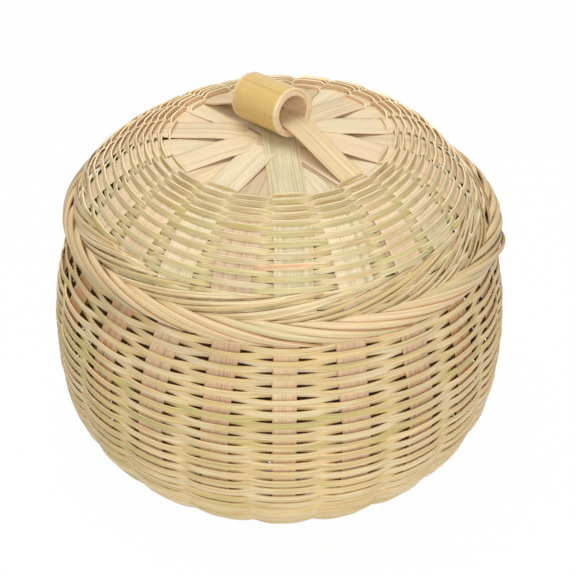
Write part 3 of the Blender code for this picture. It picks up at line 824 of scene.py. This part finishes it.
class Weave:
    """Weavers that run round a wall, over every second stake and behind the others.

    shift says how far a row is off its place at an azimuth, behind how deep it goes behind a
    stake. Tones don't go below warmest, and the left side has left_tone more.
    """

    def __init__(self, wall, ring, stake_width, shift, behind, warmest=0.0, left_tone=0.0):
        self.wall, self.ring, self.stake_width = wall, ring, stake_width
        self.shift, self.behind = shift, behind
        self.warmest, self.left_tone = warmest, left_tone

    def tones(self, azimuth, tone, blush):
        """Tones along a row. blush holds two azimuths, between which it is salmon."""
        tones = np.maximum(tone + slow_wave(azimuth, TONE_SWAY, TONE_HARMONICS), self.warmest)
        tones = tones + self.left_tone * np.maximum(-np.sin(azimuth), 0) ** 2
        if blush:
            turned = (azimuth + math.pi) % (2 * math.pi) - math.pi
            share = np.clip((turned - blush[0]) / (blush[1] - blush[0]), 0, 1)
            tones = tones + (BLUSH_TONE - tones) * np.minimum(2 * np.sin(math.pi * share), 1)
        return tones

    def add_row(self, bundle, row, s, width, over, upright, tone, pinch, blush=None):
        """A row, which starts and ends behind a stake at the back.

        over says how far it stands out over a stake, upright how much of the wall's lean it
        makes good, and pinch how much of its width it loses behind a stake.
        """
        parity = row % 2
        start = STAKES // 2 + parity
        steps = STAKES * STEPS_PER_STAKE
        counts = np.linspace(start - ROW_LAP, start + STAKES + ROW_LAP, steps + 1)
        azimuth = self.ring.azimuth(counts, s)
        nearest = np.round(counts).astype(int)
        away = np.abs(counts - nearest)
        stake_share = self.stake_width / 2 / (self.wall.at(s)[0] * STAKE_TURN)
        flat = float(np.clip(stake_share * FLAT_SHARE, *FLAT_LIMITS))
        swing = np.cos(np.clip((away - flat) / (0.5 - flat), 0, 1) * math.pi / 2)
        is_over = (nearest + parity) % 2 == 0
        uneven = rng.uniform(*UNEVEN, STAKES)[nearest % STAKES]
        depth = STAKE_DEPTH + np.where(is_over, -over * uneven, self.behind) * swing
        depth += np.clip((counts - (start + STAKES - TUCK_RUN)) / TUCK_RUN, 0, 1) * TUCK_DEPTH
        sag = rng.normal(0, SAG, STAKES)[nearest % STAKES] * swing
        s_line = s + self.shift(azimuth) + slow_wave(azimuth, SWAY, SWAY_HARMONICS) + sag
        points, normals = self.wall.place(azimuth, s_line, depth)
        lean = np.arcsin(np.clip(self.wall.at(s_line)[3], -1, 1))
        leaning = np.where(is_over, between((LEAN_BEHIND, 1.0), swing), LEAN_BEHIND)
        width = width * np.where(is_over, 1.0, 1.0 - pinch * swing)
        tones = self.tones(azimuth, tone, blush)
        bundle.add(points, normals, width, WEAVER_THICK, tones, tilt=lean * upright * leaning)


def lid_shift(azimuth):
    """How far a lid's row is off its place."""
    return -LID_SWAY * np.sin(azimuth + LID_SWAY_TURN) ** 2


def body_shift(azimuth):
    """The body's rows are turns of two spirals, at their place in the front."""
    return -BODY_PITCH * (azimuth / math.pi - 2)


def make_lid_weave(material):
    """Rows from the crown down to the border."""
    weave = Weave(LID, LID_RING, LID_STRIP_WIDTH, lid_shift, LID_BEHIND, warmest=LID_WARMEST)
    bundle = Bundle()
    for row in range(LID_ROWS):
        share = row / (LID_ROWS - 1)
        width = between(LID_WIDTHS, share) * rng.uniform(*LID_WIDTH_SPREAD)
        if row == 0:
            width = THIN_ROW_WIDTH
        over = between(LID_OVERS, share)
        if row > LID_LAST_OPEN_ROW:
            over = LID_OVER_UNDER_BORDER
        tone = rng.uniform(*LID_TONES)
        if row < CREAM_ROWS:
            tone = CREAM_TONES[0] + CREAM_TONES[1] * tone
        place = CROWN_RADIUS + np.interp(row, LID_ROW_STEPS, LID_ROW_PLACES)
        place += rng.normal(0, PLACE_SPREAD)
        weave.add_row(bundle, row, place, width, over, between(LID_UPRIGHTS, share), tone,
                      PINCH * min(LID_FIRST_PINCH + share, 1.0),
                      blush=BLUSH if row == BLUSH_ROW else None)
    bundle.piece("lid_weavers", material, "lid", "lid_weaver", "lid_weave")


def make_body_weave(material):
    """Rows from the mouth down the wall, round the foot and in under the base."""
    weave = Weave(BODY, BODY_RING, BODY_STRIP_WIDTH, body_shift, BODY_BEHIND,
                  left_tone=BODY_LEFT_TONE)
    foot_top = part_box("side_weave_foot")[1].z
    lower_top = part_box("side_weave_lower")[1].z
    bundles = {band: Bundle() for band in ("base", "foot", "lower", "upper")}
    s = BODY.length + BODY_FIRST_ROW
    row = 0
    while s > BODY_LAST_ROW:
        down = BODY.length - s
        height = BODY.at(s)[1]
        over = np.interp(height, *BODY_OVER)
        if s < FOOT_S:
            band, over = "base", BASE_OVER
        elif height < foot_top:
            band = "foot"
        elif height < lower_top:
            band = "lower"
        else:
            band = "upper"
        width = np.interp(down, *BODY_WIDTHS) * rng.uniform(*BODY_WIDTH_SPREAD)
        place = s + rng.normal(0, PLACE_SPREAD)
        tone = rng.uniform(*BODY_TONES)
        weave.add_row(bundles[band], row, place, width, over, BODY_UPRIGHT, tone,
                      np.interp(down, *BODY_PINCHES))
        s -= np.interp(down, *BODY_PITCHES)
        row += 1
    bundles["base"].piece("base_weavers", material, "basket_body", "base_weaver", "base_weave")
    for band in ("foot", "lower", "upper"):
        bundles[band].piece("side_weavers_" + band, material, "basket_body", "side_weaver",
                            "side_weave_" + band)


# Crossing strips


def is_high(stake):
    """Round the middle, every second half of a strip lies over its neighbours."""
    return stake % 2 == 0


def half_depth(stations, stacked, high, width, lift):
    """Depth along one half of a strip: stacked, then over or under its neighbours, then alone."""
    start = width / 2 / math.tan(STAKE_TURN)
    end = width / 2 / math.tan(STAKE_TURN / 2)
    crossed = STAKE_DEPTH - CROSSING_LIFT
    if not high:
        crossed += STAKE_THICK + STACK_GAP
    depth = np.interp(stations, [start * STACK_RUN, start, end, end + AFTER_CROSSING],
                      [stacked, crossed, crossed, STAKE_DEPTH])
    bow = np.clip((stations - BOW_START) / (end - BOW_START), 0, 1)
    return depth - lift * np.sin(math.pi * bow ** BOW_POWER) ** 2


def strip_course(wall, ring, strip, width, middle_depth, lifts):
    """Points and normals of a strip, from the rim at its back half to the rim at its front."""
    stations = np.concatenate([
        [STRIP_START],
        np.linspace(*STRIP_INNER_RUN),
        np.linspace(STRIP_OUTER_START, wall.length, STRIP_OUTER_STATIONS),
    ])
    halves = []
    for stake in (strip + STRIPS, strip):
        lift = lifts.get(stake, HIGH_STRIP_LIFT) if is_high(stake) else 0.0
        depth = half_depth(stations, middle_depth, is_high(stake), width, lift)
        azimuth = ring.azimuth(np.full(len(stations), float(stake)), stations)
        halves.append(wall.place(azimuth, stations, depth))
    (far, far_normals), (near, near_normals) = halves
    return np.concatenate([far[::-1], near]), np.concatenate([far_normals[::-1], near_normals])


def make_strips(kind, body, wall, ring, widths, front_number, stack_depth, lifts, tones, skins):
    """A wall's crossing strips, from the front one on, which tops the stack.

    widths and skins hold each strip's own. A strip's node has the number of its place.
    """
    for strip in range(STRIPS):
        width = widths[strip] * rng.uniform(*STRIP_WIDTH_SPREAD)
        place = min(strip, STRIPS - strip)
        middle_depth = stack_depth + place * (STAKE_THICK + STACK_GAP)
        points, normals = strip_course(wall, ring, strip, width, middle_depth, lifts)
        bundle = Bundle()
        bundle.add(points, normals, width, STAKE_THICK, tones[strip], section=STRIP_SECTION)
        node = f"{kind}_{(front_number + strip - 1) % STRIPS + 1:02d}"
        bundle.piece(node + "_split", skins[strip], body, kind, node)


def make_lid_strips():
    """The first three of them bear lines."""
    plain = lid_stake("lid_stake")
    skins = [lid_stake("lid_stake_front", FRONT_MARKS), lid_stake("lid_stake_green", GREEN_MARKS),
             lid_stake("lid_stake_purple", PURPLE_MARKS)]
    skins += [plain] * (STRIPS - len(skins))
    make_strips("lid_strip", "lid", LID, LID_RING, [LID_STRIP_WIDTH] * STRIPS, LID_FRONT_STRIP,
                LID_STACK_DEPTH, CROWN_LIFTS, LID_STRIP_TONES, skins)


def make_body_strips():
    """The first of them is narrower."""
    widths = [BODY_STRIP_WIDTH] * STRIPS
    widths[0] *= FRONT_STRIP_NARROWING
    make_strips("body_strip", "basket_body", BODY, BODY_RING, widths, BODY_FRONT_STRIP,
                BODY_STACK_DEPTH, {}, BODY_STRIP_TONES_AND_SIDE_SHADE, [body_stake()] * STRIPS)


# Borders


def strand_azimuth(strand, strands, spread):
    """Azimuth in degrees of one of the strands round a wall, a little off its even place."""
    return 360 * (strand + rng.uniform(-spread, spread)) / strands


def slanting(bundle, wall, azimuth, sweep, s, depths, width, thick, tilt, tone):
    """A strand that goes round a wall while it runs along it through the places in s.

    azimuth and sweep are in degrees. depths holds shares of the strand and its depths there.
    """
    share = np.linspace(0, 1, len(s))
    depth = np.interp(share, *depths)
    points, normals = wall.place(np.radians(azimuth + sweep * share), s, depth)
    width = width * np.interp(share, *STRAND_TAPER)
    bundle.add(points, normals, width, thick, tone, section=ROUND_SECTION, tilt=tilt)


def add_upper_layer(bundle):
    """Stake ends that run up from the seam into the dome."""
    seam = CROWN_RADIUS + SEAM_RUN
    share = np.linspace(0, 1, STRAND_STATIONS)
    eased = (1 - UPPER_EASE) * share + UPPER_EASE * share * share * (3 - 2 * share)
    for strand in range(UPPER_STRANDS):
        azimuth = strand_azimuth(strand, UPPER_STRANDS, UPPER_SPREAD)
        sweep = UPPER_SWEEP + rng.uniform(*UPPER_SWEEP_OFFSETS)
        rise = UPPER_RISE + rng.normal(0, UPPER_RISE_SPREAD)
        sway = lid_shift(np.radians(azimuth + sweep * share))
        s = seam + UPPER_START - rise * eased + sway * eased
        depth = rng.uniform(*UPPER_DEPTHS)
        depth += UPPER_RIGHT_DEPTH * max(0.0, math.sin(math.radians(azimuth + sweep / 2)))
        depths = [*UPPER_SEAM_DEPTHS, depth - UPPER_BOW, depth, UPPER_TIP_DEPTH]
        width = rng.uniform(*UPPER_WIDTHS)
        slanting(bundle, LID, azimuth, sweep, s, (UPPER_STATIONS, depths), width, UPPER_THICK,
                 UPPER_TILT, rng.uniform(*UPPER_TONES))


def add_lower_layer(bundle):
    """Stake ends that run down from the seam, round the edge and in behind it."""
    sweep = LOWER_SWEEP + TUCK_SWEEP
    share = np.linspace(0, 1, STRAND_STATIONS)
    places = [LOWER_START, LID_RIM.length * LOWER_EDGE, LID_RIM.length]
    s = np.interp(share, [0, LOWER_SWEEP / sweep, 1], places)
    for strand in range(LOWER_STRANDS):
        azimuth = strand_azimuth(strand, LOWER_STRANDS, LOWER_SPREAD)
        width = rng.uniform(*LOWER_WIDTHS)
        slanting(bundle, LID_RIM, azimuth, sweep, s, LOWER_DEPTHS, width, LOWER_THICK,
                 LOWER_TILT, rng.uniform(*LOWER_TONES))
    slanting(bundle, LID_RIM, *LOOSE_STRAND, s, LOOSE_DEPTHS, LOOSE_WIDTH, LOOSE_THICK,
             LOWER_TILT, LOOSE_TONE)


def make_lid_border(material):
    bundle = Bundle()
    add_upper_layer(bundle)
    add_lower_layer(bundle)
    bundle.piece("lid_border_strands", material, "lid", "border_strand", "lid_border")


def make_body_border(material):
    """Stake ends bent over the mouth, hidden inside the lid's border when it is shut."""
    bundle = Bundle()
    s = np.linspace(0, BODY_RIM.length, MOUTH_STATIONS)
    for strand in range(MOUTH_STRANDS):
        azimuth = strand_azimuth(strand, MOUTH_STRANDS, MOUTH_SPREAD)
        slanting(bundle, BODY_RIM, azimuth, LOWER_SWEEP, s, MOUTH_DEPTHS, MOUTH_WIDTH,
                 MOUTH_THICK, MOUTH_TILT, rng.uniform(*MOUTH_TONES))
    bundle.piece("body_border_strands", material, "basket_body", "border_strand", "body_border")


# Handle


def roll_radius(turned):
    """Inner and outer radius of the roll: its outer end first, its inner end last."""
    full = ROLL_BORE + ROLL_WALL
    thick_end = ROLL_WALL - ROLL_GAP - ROLL_INNER_TIP
    layer = np.interp(turned, [0, ROLL_LAP, ROLL_LAP + ROLL_THICKEN],
                      [ROLL_OUTER_TIP, thick_end, ROLL_WALL])
    covering = np.interp(turned - 360, [0, ROLL_LAP], [ROLL_OUTER_TIP, thick_end])
    dip = np.clip((turned - 360 + ROLL_DIP) / ROLL_DIP, 0, 1)
    outer = full - (covering + ROLL_GAP) * dip
    return full - layer, outer


def make_roll(material):
    """A thick piece of bamboo rolled up so that its ends lap."""
    axis = np.array(ROLL_AXIS)
    right = np.cross(axis, (0.0, 0.0, 1.0))
    right *= np.sign(right[0]) / np.linalg.norm(right)
    up = np.cross(right, axis)
    up *= np.sign(up[2])
    turned = np.linspace(0, 360 + ROLL_LAP, ROLL_STATIONS)
    inner, outer = roll_radius(turned)
    angle = np.radians(ROLL_SEAM - turned)[:, None]
    normals = right * np.cos(angle) + up * np.sin(angle)
    centre = np.array(ROLL_CENTRE) + axis * ROLL_SHIFT + right * ROLL_RIGHT + up * ROLL_UP
    points = centre + normals * ((inner + outer) / 2)[:, None]
    bundle = Bundle()
    bundle.add(points, normals, ROLL_LENGTH, outer - inner, ROLL_TONE, section=ROLL_SECTION)
    bundle.piece("roll_skin", material, "roll", "roll_skin", "handle_roll")


def strap_profile(axis_middle, slope):
    """The strap seen from its side: flat on the crown, up through the roll and down again.

    axis_middle is where the roll's centre lies along the strap, slope how its axis rises.
    """
    low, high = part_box("handle_strap")
    end = math.hypot(high.x, high.y) - STRAP_END_INSET
    rest = low.z + STRAP_THICK / 2

    def in_bore(along):
        return axis_middle + along, ROLL_CENTRE.z - STRAP_BELOW_AXIS + along * slope

    back, front = in_bore(-ROLL_LENGTH / 2), in_bore(ROLL_LENGTH / 2 - STRAP_FRONT_INSET)
    before_back = in_bore(-ROLL_LENGTH / 2 - STRAP_PAST_BACK)
    past_front = in_bore(ROLL_LENGTH / 2 + STRAP_PAST_FRONT)
    heel, toe = (-end, rest), (end, rest)
    rise = bezier(heel, off(heel, STRAP_RISE_HANDLE), before_back, back, STRAP_STEPS)
    fall = bezier(front, past_front, off(toe, STRAP_FALL_HANDLE), toe, STRAP_STEPS)
    return np.concatenate([rise, fall])


def make_strap(material):
    """Bent strip through the roll, its ends flat on the crown."""
    side = Vector((ROLL_AXIS.x, ROLL_AXIS.y, 0.0)).normalized()
    slope = ROLL_AXIS.z / math.hypot(ROLL_AXIS.x, ROLL_AXIS.y)
    profile = strap_profile(ROLL_CENTRE.dot(side), slope)
    side = np.array(side)
    up = np.array((0.0, 0.0, 1.0))
    points = profile[:, :1] * side + profile[:, 1:] * up
    tangents = unit(np.gradient(profile, axis=0))
    normals = -tangents[:, 1:] * side + tangents[:, :1] * up
    bundle = Bundle()
    bundle.add(points, normals, STRAP_WIDTH, STRAP_THICK, STRAP_TONE, section=STRIP_SECTION)
    bundle.piece("strap_strip", material, "lid", "strap", "handle_strap")


# Stage


def make_camera():
    data = bpy.data.cameras.new("camera")
    data.sensor_width = CAMERA_SENSOR
    data.lens = CAMERA_LENS
    camera = add_object("camera", data)
    camera.location = CAMERA_PLACE
    camera.rotation_euler = (math.radians(CAMERA_TILT), 0.0, 0.0)
    bpy.context.scene.camera = camera


def area_light(name, place, power):
    data = bpy.data.lights.new(name, "AREA")
    data.shape = "DISK"
    data.size = LIGHT_SIZE
    data.energy = power
    light = add_object(name, data)
    light.location = place
    direction = Vector(LIGHT_TARGET) - Vector(place)
    light.rotation_euler = direction.to_track_quat("-Z", "Y").to_euler()


def white_where_seen(nodes, seen, unseen):
    """A strength that differs for what the camera sees, also in gloss."""
    rays = nodes.node("ShaderNodeLightPath").outputs
    highest = rays["Is Camera Ray"]
    for ray in ("Is Glossy Ray", "Is Transmission Ray"):
        highest = nodes.math("MAXIMUM", highest, rays[ray])
    inputs = {"Value": highest, "To Min": unseen, "To Max": seen}
    return nodes.node("ShaderNodeMapRange", inputs).outputs[0]


def floor_material():
    """Pale and matt, and nearly plain white where it is seen."""
    material = bpy.data.materials.new("floor")
    nodes = Nodes(material)
    shader = nodes.first(SHADER)
    shader.inputs["Base Color"].default_value = grey(FLOOR_GREY)
    shader.inputs["Roughness"].default_value = FLOOR_ROUGHNESS
    glow = nodes.node("ShaderNodeEmission").outputs[0]
    inputs = {0: white_where_seen(nodes, FLOOR_WHITE, 0.0), 1: shader.outputs[0], 2: glow}
    mix = nodes.node("ShaderNodeMixShader", inputs).outputs[0]
    nodes.link(mix, "Material Output", "Surface")
    return material


def make_floor():
    reach = FLOOR_REACH
    corners = [(-reach, -reach), (reach, -reach), (reach, reach), (-reach, reach)]
    mesh = bpy.data.meshes.new("floor")
    mesh.from_pydata([(x, y, FLOOR_HEIGHT) for x, y in corners], [], [(0, 1, 2, 3)])
    mesh.materials.append(floor_material())
    floor = add_object("floor", mesh)


def make_studio():
    world = bpy.data.worlds.new("studio")
    bpy.context.scene.world = world
    nodes = Nodes(world)
    nodes.first("Background").inputs["Color"].default_value = grey(1.0)
    nodes.link(white_where_seen(nodes, 1.0, WORLD_LIGHT), "Background", "Strength")
    area_light("key", KEY_PLACE, KEY_POWER)
    area_light("top", TOP_PLACE, TOP_POWER)
    bpy.context.scene.view_settings.view_transform = "Standard"


def main():
    make_lid_weave(lid_weaver())
    make_body_weave(body_weaver())
    make_lid_strips()
    make_body_strips()
    border = border_strand()
    make_lid_border(border)
    make_body_border(border)
    make_roll(roll_skin())
    make_strap(strap_skin())
    make_camera()
    make_floor()
    make_studio()


main()
